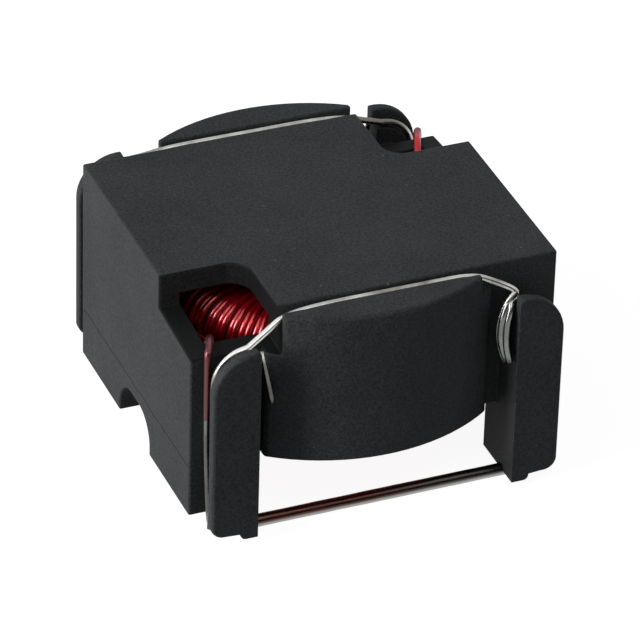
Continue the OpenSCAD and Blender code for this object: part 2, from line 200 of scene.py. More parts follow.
def dippedTin(name):
    material, tree, shader, where = startMaterial(name)
    run = addNode(tree, "ShaderNodeTexNoise", None,
                  {"Vector": where, "Scale": 1 / (tin["run"] * mm), "Detail": 2.0})
    patch = addNode(tree, "ShaderNodeTexNoise", None,
                    {"Vector": where, "Scale": 1 / (tin["patch"] * mm), "Detail": 4.0, "Roughness": 0.6})
    pit = addNode(tree, "ShaderNodeTexNoise", None,
                  {"Vector": where, "Scale": 1 / (tin["pit"] * mm), "Detail": 2.0})
    colour = addNode(tree, "ShaderNodeValToRGB", None, {"Fac": patch.outputs["Fac"]}, tin["greys"])
    place = addNode(tree, "ShaderNodeSeparateXYZ", None, {"Vector": where}).outputs
    across = addNode(tree, "ShaderNodeMath", {"operation": "ABSOLUTE"}, {0: place["X"]})
    outward = addNode(tree, "ShaderNodeMath", {"operation": "ABSOLUTE"}, {0: place["Y"]})
    product = addNode(tree, "ShaderNodeMath", {"operation": "MULTIPLY"}, {0: place["X"], 1: place["Y"]})
    leadSide = addNode(tree, "ShaderNodeMath", {"operation": "GREATER_THAN"}, {0: product.outputs[0], 1: 0.0})

    # painted highlight: paler tin over the post on the lead's side at the front; the same place takes painted shade at
    # the rear
    outer = addNode(tree, "ShaderNodeMapRange", None, {"Value": across.outputs[0], **between(tin["highlightReach"], mm)})
    upper = addNode(tree, "ShaderNodeMapRange", None, {"Value": place["Z"], **between(tin["highlightHeight"], mm)})
    highlightZone = addNode(tree, "ShaderNodeMath", {"operation": "MULTIPLY"}, {0: outer.outputs[0], 1: upper.outputs[0]})
    clean = addNode(tree, "ShaderNodeMath", {"operation": "MULTIPLY"}, {0: highlightZone.outputs[0], 1: leadSide.outputs[0]})
    atFront = addNode(tree, "ShaderNodeMath", {"operation": "LESS_THAN"}, {0: place["Y"], 1: 0.0})
    frontHighlightRearShade = addNode(tree, "ShaderNodeMix", {"data_type": "RGBA"},
                        {"Factor": atFront.outputs[0], colourA: toLinear(tin["shadeRear"]),
                         colourB: toLinear(tin["highlightFront"])})
    strand = addNode(tree, "ShaderNodeMix", {"data_type": "RGBA"},
                     {"Factor": clean.outputs[0], colourA: colour.outputs["Color"],
                      colourB: frontHighlightRearShade.outputs[colourOut]})

    # painted reflection on the bar: pale at its sole, and the coil's red going to grey along it
    aboveSole = addNode(tree, "ShaderNodeMapRange", None, {"Value": place["Z"], **between(tin["soleHeight"], mm)})
    along = addNode(tree, "ShaderNodeMapRange", None,
                    {"Value": product.outputs[0], **between(tin["reflectionAcross"], mm * mm)})
    reflectedTone = addNode(tree, "ShaderNodeMix", {"data_type": "RGBA"},
                   {"Factor": along.outputs[0], colourA: toLinear(tin["reflectedRed"]), colourB: toLinear(tin["reflectedGrey"])})
    barTone = addNode(tree, "ShaderNodeMix", {"data_type": "RGBA"},
                      {"Factor": aboveSole.outputs[0], colourA: toLinear(tin["sole"]), colourB: reflectedTone.outputs[colourOut]})
    onBar = addNode(tree, "ShaderNodeMapRange", None, {"Value": place["Z"], **between(tin["barHeight"], mm)})
    withBarReflection = addNode(tree, "ShaderNodeMix", {"data_type": "RGBA"},
                      {"Factor": onBar.outputs[0], colourA: strand.outputs[colourOut],
                       colourB: barTone.outputs[colourOut]})

    # darker grey on the strands behind the post, towards the bottom
    behind = addNode(tree, "ShaderNodeMath", {"operation": "GREATER_THAN"},
                     {0: across.outputs[0], 1: tin["dimBeyond"] * mm})
    fromInner = addNode(tree, "ShaderNodeMath", {"operation": "SUBTRACT"},
                        {0: outward.outputs[0], 1: tin["innerStrand"] * mm})
    lowered = addNode(tree, "ShaderNodeMath", {"operation": "MULTIPLY_ADD"},
                      {0: fromInner.outputs[0], 1: tin["dimSlope"], 2: place["Z"]})
    dimRamp = addNode(tree, "ShaderNodeMapRange", None,
                    {"Value": lowered.outputs[0], **between(tin["dimHeight"], mm), "To Max": tin["dimShow"]})
    dimBehind = addNode(tree, "ShaderNodeMath", {"operation": "MULTIPLY"}, {0: behind.outputs[0], 1: dimRamp.outputs[0]})
    ownSide = addNode(tree, "ShaderNodeMath", {"operation": "MULTIPLY"},
                      {0: dimBehind.outputs[0], 1: leadSide.outputs[0]})
    dimmedBehind = addNode(tree, "ShaderNodeMix", {"data_type": "RGBA"},
                     {"Factor": ownSide.outputs[0], colourA: withBarReflection.outputs[colourOut],
                      colourB: toLinear(tin["dimGrey"])})

    # painted dark reflection: the cut ends beside the posts dulled below the top bend, darkest on the stub
    beside = addNode(tree, "ShaderNodeMath", {"operation": "GREATER_THAN"},
                     {0: outward.outputs[0], 1: tin["cutBeyond"] * mm})
    above = addNode(tree, "ShaderNodeMath", {"operation": "GREATER_THAN"}, {0: place["Z"], 1: tin["cutAbove"] * mm})
    cut = addNode(tree, "ShaderNodeMath", {"operation": "MULTIPLY"}, {0: beside.outputs[0], 1: above.outputs[0]})
    dull = addNode(tree, "ShaderNodeMapRange", None,
                   {"Value": place["Z"], **between(tin["darkReflectionHeight"], mm), "To Max": tin["darkReflectionShow"]})
    darkReflected = addNode(tree, "ShaderNodeMath", {"operation": "MULTIPLY"}, {0: cut.outputs[0], 1: dull.outputs[0]})
    darkReflectionTone = addNode(tree, "ShaderNodeMix", {"data_type": "RGBA"},
                      {"Factor": leadSide.outputs[0], colourA: toLinear(tin["pairDarkReflection"]),
                       colourB: toLinear(tin["stubDarkReflection"])})
    darkReflectedEnds = addNode(tree, "ShaderNodeMix", {"data_type": "RGBA"},
                     {"Factor": darkReflected.outputs[0], colourA: dimmedBehind.outputs[colourOut],
                      colourB: darkReflectionTone.outputs[colourOut]})
    # darker near the tip
    nearTip = addNode(tree, "ShaderNodeMapRange", None, {"Value": place["Z"], **between(tin["tipHeight"], mm)})
    tipDark = addNode(tree, "ShaderNodeMath", {"operation": "MULTIPLY"}, {0: cut.outputs[0], 1: nearTip.outputs[0]})
    ended = addNode(tree, "ShaderNodeMix", {"data_type": "RGBA"},
                    {"Factor": tipDark.outputs[0], colourA: darkReflectedEnds.outputs[colourOut], colourB: toLinear(tin["tip"])})

    rough = addNode(tree, "ShaderNodeMapRange", None,
                    {"Value": patch.outputs["Fac"], **between(tin["patches"]),
                     "To Min": tin["rough"][0], "To Max": tin["rough"][1]})
    runs = addNode(tree, "ShaderNodeMath", {"operation": "MULTIPLY_ADD"},
                   {0: pit.outputs["Fac"], 1: tin["pitShare"], 2: run.outputs["Fac"]})
    bump = addNode(tree, "ShaderNodeBump", None,
                   {"Height": runs.outputs[0], "Strength": tin["bump"], "Distance": tin["relief"] * mm})
    setInputs(tree, shader, {"Base Color": ended.outputs[colourOut], "Roughness": rough.outputs[0],
                             "Normal": bump.outputs["Normal"], "Metallic": 1.0})
    return material


# Sintered ferrite: nearly black grey, dull, with open pores, drawn coarser than their real 0.01 mm, to show
pores = {"size": 0.12, "cloud": 1.5, "relief": 0.02,  # mm
         "greys": [(0.1, "#1d1c1c"), (0.5, "#4a4746")], "bump": 0.5, "rough": 0.75}


def sinteredFerrite(name):
    material, tree, shader, where = startMaterial(name)
    pore = addNode(tree, "ShaderNodeTexNoise", None,
                   {"Vector": where, "Scale": 1 / (pores["size"] * mm), "Detail": 3.0, "Roughness": 0.7})
    cloud = addNode(tree, "ShaderNodeTexNoise", None, {"Vector": where, "Scale": 1 / (pores["cloud"] * mm)})
    tone = addNode(tree, "ShaderNodeMath", {"operation": "MULTIPLY"},
                   {0: pore.outputs["Fac"], 1: cloud.outputs["Fac"]})
    colour = addNode(tree, "ShaderNodeValToRGB", None, {"Fac": tone.outputs[0]}, pores["greys"])
    bump = addNode(tree, "ShaderNodeBump", None,
                   {"Height": pore.outputs["Fac"], "Strength": pores["bump"], "Distance": pores["relief"] * mm})
    setInputs(tree, shader, {"Base Color": colour.outputs["Color"], "Normal": bump.outputs["Normal"],
                             "Roughness": pores["rough"]})
    return material


# Dark tone, pale tone, specks and least roughness, and for the notch the share of its tone that its painted shade
# leaves
capSkin = mouldedThermoset("mouldedThermoset", "#222426", "#434546", "#5a5d5f", 0.64)
# the eased edges: a darker, glossier copy of the skin, painted shade that damps the lamp's highlight on them
capEdgeShade = mouldedThermoset("mouldedThermosetEdgeShade", "#1f2123", "#3e4041", "#5a5d5f", 0.56)
# the notch: painted shade, darker on its sides and floor than on its back
capNotchShade = mouldedThermoset("mouldedThermosetNotchShade", "#191b1c", "#343536", "#3a3c3d", 0.5, 0.28)
# the seam: nearly black, painted shadow of its flash line
capSeamShadow = mouldedThermoset("mouldedThermosetSeamShadow", "#0e0f10", "#1b1c1d", "#2a2c2d", 0.7)
# Each lead browns from the height top down to worst, but only further from the middle than beyond, in mm
coilEnamel = redEnamel("redPolyurethaneEnamel")
frontLeadEnamel = redEnamel("redPolyurethaneEnamelBleached", {"top": 10.5, "worst": 5.6, "beyond": 5.4})
rearLeadEnamel = redEnamel("redPolyurethaneEnamelStripped", {"top": 10.5, "worst": 5.9, "beyond": 6.75})
solderTin = dippedTin("dippedSolderTin")
ferrite = sinteredFerrite("sinteredFerrite")
print("materials made:", len(bpy.data.materials))


def addPiece(name, mesh, node, slot):
    piece = bpy.data.objects.new(name, mesh)
    bpy.context.scene.collection.objects.link(piece)
    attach(piece, "root")
    if node:
        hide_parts(node)


# The cap's solid with every outer edge eased, as a mould leaves it: softest on the round walls, then on the posts
cap = {"ease": 0.22, "weld": 0.0005, "sharpAngle": 28, "flatAngle": 0.3, "shadeAngle": 52,  # mm and degrees
       "steps": 3, "faceWeight": 80,
       "roundRim": 1.0, "roundEnd": 0.9, "roundFoot": 0.5, "post": 0.6, "plain": 0.42,  # shares of the ease
       # mm: where each kind of edge is, and the bar's lane under the posts, whose edges stay sharp
       "soleBelow": 0.66, "soleSlack": 0.05, "barLane": (7, 8), "roundBeyond": 8.93, "roundHalf": 5.5,
       "rimAbove": 10.7, "endTaller": 1, "postBeyond": 8.6,
       # mm: the corner notches, and how far down a face in them may look
       "notchX": (4, 8.6), "notchY": (2, 7.1), "notchZ": (8.7, 10.78), "notchTilt": -0.5}


def within(value, limits):
    return limits[0] < abs(value) < limits[1]


def easeShare(edge):
    ends = [v.co for v in edge.verts]
    low, high = min(p.z for p in ends), max(p.z for p in ends)
    if edge.calc_face_angle(0) < math.radians(cap["sharpAngle"]) or low < cap["soleBelow"] - cap["soleSlack"]:
        return 0.0
    if high < cap["soleBelow"] and all(within(p.y, cap["barLane"]) for p in ends):
        return 0.0
    if all(math.hypot(p.x, p.y) > cap["roundBeyond"] and abs(p.x) < cap["roundHalf"] for p in ends):
        if low > cap["rimAbove"]:
            return cap["roundRim"]
        return cap["roundEnd"] if high - low > cap["endTaller"] else cap["roundFoot"]
    return cap["post"] if all(abs(p.y) > cap["postBeyond"] for p in ends) else cap["plain"]


def inNotch(face):
    x, y, z = face.center
    corner = x * y > 0 and within(x, cap["notchX"]) and within(y, cap["notchY"])
    return corner and within(z, cap["notchZ"]) and face.normal.z > cap["notchTilt"]


def buildCap():
    shell = bmesh.new()
    shell.from_mesh(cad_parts["cap"].data)
    bmesh.ops.scale(shell, vec=(1 / mm, 1 / mm, 1 / mm), verts=shell.verts)
    bmesh.ops.remove_doubles(shell, verts=shell.verts, dist=cap["weld"])
    bmesh.ops.dissolve_limit(shell, angle_limit=math.radians(cap["flatAngle"]), verts=shell.verts, edges=shell.edges)
    share = shell.edges.layers.float.new("bevel_weight_edge")
    for edge in shell.edges:
        edge[share] = easeShare(edge)
    print("cap: edges eased", sum(edge[share] > 0 for edge in shell.edges))
    mesh = bpy.data.meshes.new("capSolid")
    shell.to_mesh(mesh)
    shell.free()
    finishes = [capSkin, capEdgeShade, capNotchShade]
    mesh.materials.clear()
    for finish in finishes:
        mesh.materials.append(finish)
    skinSlot, edgeShadeSlot, notchShadeSlot = range(len(finishes))
    mesh.polygons.foreach_set("material_index", [notchShadeSlot if inNotch(face) else skinSlot for face in mesh.polygons])
    mesh.shade_smooth()
    mesh.set_sharp_from_angle(angle=math.radians(cap["shadeAngle"]))
    holder = bpy.data.objects.new("capHolder", mesh)
    bpy.context.scene.collection.objects.link(holder)
    eased = holder.modifiers.new("easedEdges", "BEVEL")
    eased.limit_method, eased.width, eased.segments = "WEIGHT", cap["ease"], cap["steps"]
    # the bevel faces take the painted edge shade
    eased.use_clamp_overlap, eased.material = False, edgeShadeSlot
    flat = holder.modifiers.new("flatFaces", "WEIGHTED_NORMAL")
    flat.keep_sharp, flat.weight = True, cap["faceWeight"]
    graph = bpy.context.evaluated_depsgraph_get()
    made = bpy.data.meshes.new_from_object(holder.evaluated_get(graph), depsgraph=graph)
    bpy.data.objects.remove(holder)
    for face in made.polygons:
        if inNotch(face):  # the notch's own eased edges take its smoother finish and painted shade too
            face.material_index = notchShadeSlot
    # 1 where the surface looks sideways or up, 0 where it looks to the front or back, for the notch's painted shade
    notchShade = [min(1.0, max(abs(n.vector.x), n.vector.z)) for n in made.vertex_normals]
    made.attributes.new("notchShade", "FLOAT", "POINT").data.foreach_set("value", notchShade)
    made.transform(Matrix.Scale(mm, 4))
    made.name = "capShell"
    print("cap: faces", len(made.polygons))
    addPiece("capShell", made, "cap", "cap_plastic")


buildCap()


# A tree with one named input for each value that its piece sets
def newTree(name, values):
    tree = bpy.data.node_groups.new(name, "GeometryNodeTree")
    tree.interface.new_socket(name="Geometry", in_out="INPUT", socket_type="NodeSocketGeometry")
    for label, value in values.items():
        kind = "Int" if isinstance(value, int) else "Float" if isinstance(value, float) else "Material"
        tree.interface.new_socket(name=label, in_out="INPUT", socket_type="NodeSocket" + kind)
    tree.interface.new_socket(name="Geometry", in_out="OUTPUT", socket_type="NodeSocketGeometry")
    return tree, addNode(tree, "NodeGroupInput").outputs


def growMesh(name, tree, values, seedMesh):
    holder = bpy.data.objects.new(name + "Holder", seedMesh)
    bpy.context.scene.collection.objects.link(holder)
    modifier = holder.modifiers.new(name, "NODES")
    modifier.node_group = tree
    for item in tree.interface.items_tree:
        if item.in_out == "INPUT" and item.name in values:
            modifier[item.identifier] = values[item.name]
    graph = bpy.context.evaluated_depsgraph_get()
    mesh = bpy.data.meshes.new_from_object(holder.evaluated_get(graph), depsgraph=graph)
    mesh.name = name
    bpy.data.objects.remove(holder)
    return mesh


# The wound ring: one loop of wire for each turn, alternating between two layers in the hole
coil = {"turns": 140, "wire": 0.3, "sides": 8, "outer": 6.92, "inner": 3.63, "height": 5.66, "centre": 5.9,  # mm
        "nest": 0.1, "layerStep": 0.25, "bend": 1.2, "bendSteps": 8, "lift": 0.03,  # mm
        "bareAngle": 10, "lean": -3, "sway": 10,  # degrees
        "wander": 0.004, "drift": 0.16, "seed": 7}  # radians of stray, and how soon the lean changes


def coilTree(values):
    tree, given = newTree("woundRing", values)
    half = addNode(tree, "ShaderNodeMath", {"operation": "MULTIPLY"}, {0: given["Wire"], 1: 0.5})
    profile = addNode(tree, "GeometryNodeCurvePrimitiveCircle", None,
                      {"Resolution": given["Sides"], "Radius": half.outputs[0]})
    loops = []
    for layer in (0, 1):  # the second layer lies deeper in the hole and nests a little elsewhere
        inner = addNode(tree, "ShaderNodeMath", {"operation": "MULTIPLY_ADD"},
                        {0: given["Layer Step"], 1: -float(layer), 2: given["Inner"]})
        outer = addNode(tree, "ShaderNodeMath", {"operation": "MULTIPLY_ADD"},
                        {0: given["Nest"], 1: -float(layer), 2: given["Outer"]})
        tall = addNode(tree, "ShaderNodeMath", {"operation": "MULTIPLY_ADD"},
                       {0: given["Nest"], 1: -2.0 * layer, 2: given["Height"]})
        width = addNode(tree, "ShaderNodeMath", {"operation": "SUBTRACT"}, {0: outer.outputs[0], 1: inner.outputs[0]})
        middle = addNode(tree, "ShaderNodeMath", {"operation": "MULTIPLY_ADD"},
                         {0: width.outputs[0], 1: 0.5, 2: inner.outputs[0]})
        place = addNode(tree, "ShaderNodeCombineXYZ", None, {"X": middle.outputs[0]})
        oblong = addNode(tree, "GeometryNodeCurvePrimitiveQuadrilateral", {"mode": "RECTANGLE"},
                         {"Width": width.outputs[0], "Height": tall.outputs[0]})
        bent = addNode(tree, "GeometryNodeFilletCurve", {"mode": "POLY"},
                       {"Curve": oblong.outputs[0], "Count": given["Bend Steps"], "Radius": given["Bend"]})
        swept = addNode(tree, "GeometryNodeCurveToMesh", None,
                        {"Curve": bent.outputs[0], "Profile Curve": profile.outputs[0]})
        upright = addNode(tree, "GeometryNodeTransform", None,
                          {"Geometry": swept.outputs[0], "Translation": place.outputs[0],
                           "Rotation": (math.pi / 2, 0, 0)})
        loops.append(addNode(tree, "GeometryNodeGeometryToInstance", None, {0: upright.outputs[0]}))
    both = addNode(tree, "GeometryNodeJoinGeometry")
    for loop in loops[::-1]:
        tree.links.new(loop.outputs[0], both.inputs[0])

    # the angle of each turn, with its stray
    index = addNode(tree, "GeometryNodeInputIndex").outputs[0]
    wound = addNode(tree, "ShaderNodeMath", {"operation": "SUBTRACT"}, {0: 2 * math.pi, 1: given["Bare Angle"]})
    share = addNode(tree, "ShaderNodeMath", {"operation": "ADD"}, {0: index, 1: 0.5})
    step = addNode(tree, "ShaderNodeMath", {"operation": "DIVIDE"}, {0: wound.outputs[0], 1: given["Turns"]})
    even = addNode(tree, "ShaderNodeMath", {"operation": "MULTIPLY"}, {0: share.outputs[0], 1: step.outputs[0]})
    start = addNode(tree, "ShaderNodeMath", {"operation": "MULTIPLY_ADD"},
                    {0: given["Bare Angle"], 1: 0.5, 2: even.outputs[0]})
    stray = addNode(tree, "FunctionNodeRandomValue", {"data_type": "FLOAT"},
                    {lowest: -1.0, highest: 1.0, "Seed": given["Seed"]})
    turn = addNode(tree, "ShaderNodeMath", {"operation": "MULTIPLY_ADD"},
                   {0: stray.outputs[drawn], 1: given["Wander"], 2: start.outputs[0]})

    # its lean: neighbours lean alike, so they don't cross
    along = addNode(tree, "ShaderNodeMath", {"operation": "MULTIPLY_ADD"},
                    {0: index, 1: given["Drift"], 2: given["Seed"]})
    drift = addNode(tree, "ShaderNodeTexNoise", {"noise_dimensions": "1D"},
                    {"W": along.outputs[0], "Scale": 1.0, "Detail": 1.0})
    centred = addNode(tree, "ShaderNodeMath", {"operation": "SUBTRACT"}, {0: drift.outputs["Fac"], 1: 0.5})
    lean = addNode(tree, "ShaderNodeMath", {"operation": "MULTIPLY_ADD"},
                   {0: centred.outputs[0], 1: given["Sway"], 2: given["Lean"]})
    spin = addNode(tree, "ShaderNodeCombineXYZ", None, {"X": lean.outputs[0], "Z": turn.outputs[0]})

    # how far it stands out
    liftSeed = addNode(tree, "ShaderNodeMath", {"operation": "ADD"}, {0: given["Seed"], 1: 2.0})
    proud = addNode(tree, "FunctionNodeRandomValue", {"data_type": "FLOAT"},
                    {lowest: 0.0, highest: 1.0, "Seed": liftSeed.outputs[0]})
    lift = addNode(tree, "ShaderNodeMath", {"operation": "MULTIPLY"}, {0: proud.outputs[drawn], 1: given["Lift"]})
    aside = addNode(tree, "ShaderNodeCombineXYZ", None, {"X": lift.outputs[0]})
    outward = addNode(tree, "ShaderNodeVectorRotate", {"rotation_type": "Z_AXIS"},
                      {"Vector": aside.outputs[0], "Angle": turn.outputs[0]})
    level = addNode(tree, "ShaderNodeCombineXYZ", None, {"Z": given["Centre"]})
    spot = addNode(tree, "ShaderNodeVectorMath", {"operation": "ADD"}, {0: outward.outputs[0], 1: level.outputs[0]})

    points = addNode(tree, "GeometryNodePoints", None, {"Count": given["Turns"], "Position": spot.outputs[0]})
    odd = addNode(tree, "ShaderNodeMath", {"operation": "MODULO"}, {0: index, 1: 2.0})
    turns = addNode(tree, "GeometryNodeInstanceOnPoints", None,
                    {"Points": points.outputs[0], "Instance": both.outputs[0], "Pick Instance": True,
                     "Instance Index": odd.outputs[0], "Rotation": spin.outputs[0]})
    real = addNode(tree, "GeometryNodeRealizeInstances", None, {0: turns.outputs[0]})
    smooth = addNode(tree, "GeometryNodeSetShadeSmooth", None, {0: real.outputs[0]})
    coloured = addNode(tree, "GeometryNodeSetMaterial", None, {0: smooth.outputs[0], "Material": coilEnamel})
    addNode(tree, "NodeGroupOutput", None, {0: coloured.outputs[0]})
    return tree


def buildCoil():
    lengths = {"Wire": "wire", "Outer": "outer", "Inner": "inner", "Nest": "nest", "Layer Step": "layerStep",
               "Height": "height", "Bend": "bend", "Centre": "centre", "Lift": "lift"}
    angles = {"Bare Angle": "bareAngle", "Lean": "lean", "Sway": "sway"}
    plain = {"Turns": "turns", "Sides": "sides", "Bend Steps": "bendSteps", "Wander": "wander", "Drift": "drift",
             "Seed": "seed"}
    values = {label: coil[key] * mm for label, key in lengths.items()}
    values.update({label: math.radians(coil[key]) for label, key in angles.items()})
    values.update({label: coil[key] for label, key in plain.items()})
    mesh = growMesh("woundCoil", coilTree(values), values, bpy.data.meshes.new("coilSeed"))
    addPiece("woundCoil", mesh, "winding", "enamelled_wire")
    print("coil: faces", len(mesh.polygons))


buildCoil()

# The ring inside it, with its edges tumbled round so the wire bends softly
ring = {"outer": 6.65, "inner": 3.8, "height": 5.1, "centre": 5.9, "round": 0.72,  # mm
        "steps": 6, "segments": 160}


def buildRing():
    r, tall = ring["round"], ring["height"] / 2
    section = []
    for corner, (x, z) in enumerate(((ring["outer"] - r, tall - r), (ring["inner"] + r, tall - r),
                                     (ring["inner"] + r, r - tall), (ring["outer"] - r, r - tall))):
        for i in range(ring["steps"] + 1):
            a = (corner + i / ring["steps"]) * math.pi / 2
            section.append((x + r * math.cos(a), z + r * math.sin(a) + ring["centre"]))
    count, whole = len(section), ring["segments"]
    spots = [(x * math.cos(2 * math.pi * i / whole) * mm, x * math.sin(2 * math.pi * i / whole) * mm, z * mm)
             for i in range(whole) for x, z in section]
    faces = [(i * count + k, (i + 1) % whole * count + k, (i + 1) % whole * count + (k + 1) % count,
              i * count + (k + 1) % count) for i in range(whole) for k in range(count)]
    mesh = bpy.data.meshes.new("tumbledRing")
    mesh.from_pydata(spots, [], faces)
    mesh.materials.append(ferrite)
    mesh.shade_smooth()
    addPiece("tumbledRing", mesh, "ring_core", "core_ferrite")
    print("ring: faces", len(mesh.polygons))


buildRing()

# The wire ends, close to the solids' routes: x, y, z and radius in mm at the front, turned half round for the rear
wires = {"sides": 20, "smoothings": 4, "leadWaviness": 0.02, "tinWaviness": 0.1, "waveLength": 1.1, "shadeAngle": 50,
         # out of the notch, over the wall and down behind the post
         "lead": [(-6.93, -2.3, 7.6, .15), (-7.1, -3.53, 7.85, .15), (-7.0, -5.03, 8.3, .16),
                  (-7.22, -5.72, 9.17, .175), (-7.62, -6.72, 9.17, .175), (-7.8, -7.02, 9.17, .175),
                  (-7.8, -7.02, 7.97, .175), (-7.8, -7.02, 5.85, .165)],
         # on down, under the part as the solder bar, up behind the other post, over it and down to the cut end
         "bar": [(-7.8, -7.02, 5.83, .15), (-7.8, -7.02, 4.65, .15), (-7.8, -7.14, 3.43, .15),
                 (-7.8, -7.38, 1.33, .15), (-7.7, -7.52, .29, .15), (-6.9, -7.52, .29, .29), (-6, -7.52, .29, .29),
                 (0, -7.52, .29, .29), (6, -7.52, .29, .29), (6.9, -7.52, .29, .29), (7.7, -7.52, .29, .15),
                 (7.8, -7.38, 1.33, .15), (7.8, -7.14, 3.43, .15), (7.8, -7.12, 6.73, .15), (7.75, -7.6, 8.13, .15),
                 (7.5, -7.85, 8.98, .15), (6.8, -7.95, 9.46, .15), (6.1, -7.92, 9.51, .15), (5.83, -8.03, 9.43, .15),
                 (5.74, -8.28, 9.2, .15), (5.5, -8.42, 8.55, .15), (5.5, -8.44, 7.5, .15), (5.71, -8.45, 6.66, .15)],
         # up behind the first post, over it, through the slot and down to the second cut end
         "top": [(-7.9, -7.9, .68, .15), (-7.75, -7.65, 2.48, .15), (-7.76, -7.65, 6.93, .15),
                 (-7.76, -7.65, 7.9, .15), (-7.66, -7.65, 8.52, .15), (-7.32, -7.65, 9.05, .15),
                 (-6.82, -7.65, 9.38, .16), (-6.4, -7.65, 9.47, .17), (-6.2, -7.63, 9.51, .16),
                 (-6.05, -7.58, 9.6, .15), (-5.2, -7.33, 10.0, .15), (-4.5, -7.12, 10.36, .15),
                 (-3.7, -7.1, 10.52, .15), (-2.3, -7.1, 10.6, .15), (0, -7.1, 10.6, .15),
                 (2.3, -7.1, 10.6, .15), (4.4, -7.1, 10.6, .15), (5.35, -7.4, 10.25, .15), (6.2, -7.85, 9.88, .15),
                 (5.95, -7.92, 9.68, .16), (5.62, -7.98, 9.38, .16), (5.33, -8.08, 8.75, .15), (5.24, -8.12, 8.1, .15),
                 (5.36, -8.14, 7.3, .15), (5.61, -8.15, 6.55, .15)],
         # the short end left beside the first post
         "stub": [(-5.72, -7.95, 9.35, .11), (-5.62, -7.95, 8.9, .12), (-5.35, -7.95, 7.57, .14),
                  (-5.2, -7.95, 6.84, .13), (-5.16, -7.95, 6.66, .05)],
         # solder that ran between the two cut ends
         "fillet": [(5.74, -8.0, 9.55, .06), (5.6, -8.07, 9.3, .15), (5.42, -8.19, 8.8, .19), (5.33, -8.22, 8.1, .19),
                    (5.41, -8.24, 7.4, .18), (5.58, -8.26, 6.82, .15), (5.63, -8.27, 6.62, .07)]}


def cutCorners(route):
    made = [route[0]]
    for near, far in zip(route, route[1:]):
        made += [near.lerp(far, 0.25), near.lerp(far, 0.75)]
    return made + [route[-1]]


def routeMesh(name, routes, turned):
    spots, links, radii = [], [], []
    for route in routes:
        corners = [Vector(p) for p in route]
        for _ in range(wires["smoothings"]):
            corners = cutCorners(corners)
        first = len(spots)
        for x, y, z, radius in corners:
            spots.append((-x * mm, -y * mm, z * mm) if turned else (x * mm, y * mm, z * mm))
            radii.append(radius * mm)
        links += [(i, i + 1) for i in range(first, len(spots) - 1)]
    mesh = bpy.data.meshes.new(name + "Route")
    mesh.from_pydata(spots, links, [])
    mesh.attributes.new("thickness", "FLOAT", "POINT").data.foreach_set("value", radii)
    return mesh


def wireTree(values):
    tree, given = newTree("drawnWire", values)
    path = addNode(tree, "GeometryNodeMeshToCurve", None, {0: given["Geometry"]})
    thickness = addNode(tree, "GeometryNodeInputNamedAttribute", {"data_type": "FLOAT"}, {"Name": "thickness"})
    spot = addNode(tree, "GeometryNodeInputPosition")
    pitch = addNode(tree, "ShaderNodeMath", {"operation": "DIVIDE"}, {0: 1.0, 1: given["Wave Length"]})
    wave = addNode(tree, "ShaderNodeTexNoise", None,
                   {"Vector": spot.outputs[0], "Scale": pitch.outputs[0], "Detail": 1.0})
    centred = addNode(tree, "ShaderNodeMath", {"operation": "SUBTRACT"}, {0: wave.outputs["Fac"], 1: 0.5})
    swell = addNode(tree, "ShaderNodeMath", {"operation": "MULTIPLY_ADD"},
                    {0: centred.outputs[0], 1: given["Waviness"], 2: 1.0})
    scale = addNode(tree, "ShaderNodeMath", {"operation": "MULTIPLY"}, {0: swell.outputs[0], 1: thickness.outputs[0]})
    profile = addNode(tree, "GeometryNodeCurvePrimitiveCircle", None, {"Resolution": given["Sides"], "Radius": 1.0})
    swept = addNode(tree, "GeometryNodeCurveToMesh", None,
                    {"Curve": path.outputs[0], "Profile Curve": profile.outputs[0], "Scale": scale.outputs[0],
                     "Fill Caps": True})
    real = addNode(tree, "GeometryNodeRealizeInstances", None, {0: swept.outputs[0]})
    coloured = addNode(tree, "GeometryNodeSetMaterial", None, {0: real.outputs[0], "Material": given["Finish"]})
    addNode(tree, "NodeGroupOutput", None, {0: coloured.outputs[0]})
    return tree


def buildWires():
    values = {"Sides": wires["sides"], "Waviness": wires["tinWaviness"], "Wave Length": wires["waveLength"] * mm,
              "Finish": solderTin}
    tree = wireTree(values)
    for end, turned, leadFinish in (("front", False, frontLeadEnamel), ("rear", True, rearLeadEnamel)):
        plan = [("Lead", ["lead"], leadFinish, wires["leadWaviness"], "enamelled_wire"),
                ("Terminal", ["bar", "top", "stub", "fillet"], solderTin, wires["tinWaviness"], "tinned_wire")]
        for part, routes, finish, waviness, slot in plan:
            name = end + part
            values.update({"Waviness": waviness, "Finish": finish})
            mesh = growMesh(name + "Wire", tree, values, routeMesh(name, [wires[r] for r in routes], turned))
            mesh.shade_smooth()
            mesh.set_sharp_from_angle(angle=math.radians(wires["shadeAngle"]))
            addPiece(name + "Wire", mesh, end + "_" + part.lower(), slot)
            print(name, "faces", len(mesh.polygons))


buildWires()

# A hair-thin line of flash where the two halves of the mould met, along both side walls
seam = {"height": 3.26, "halfLength": 6.7, "halfWidth": 0.028, "proud": 0.012, "sunk": 0.02, "step": 0.35,  # mm
        "wander": 0.03, "widthSpread": (0.6, 1.4), "seed": 3}


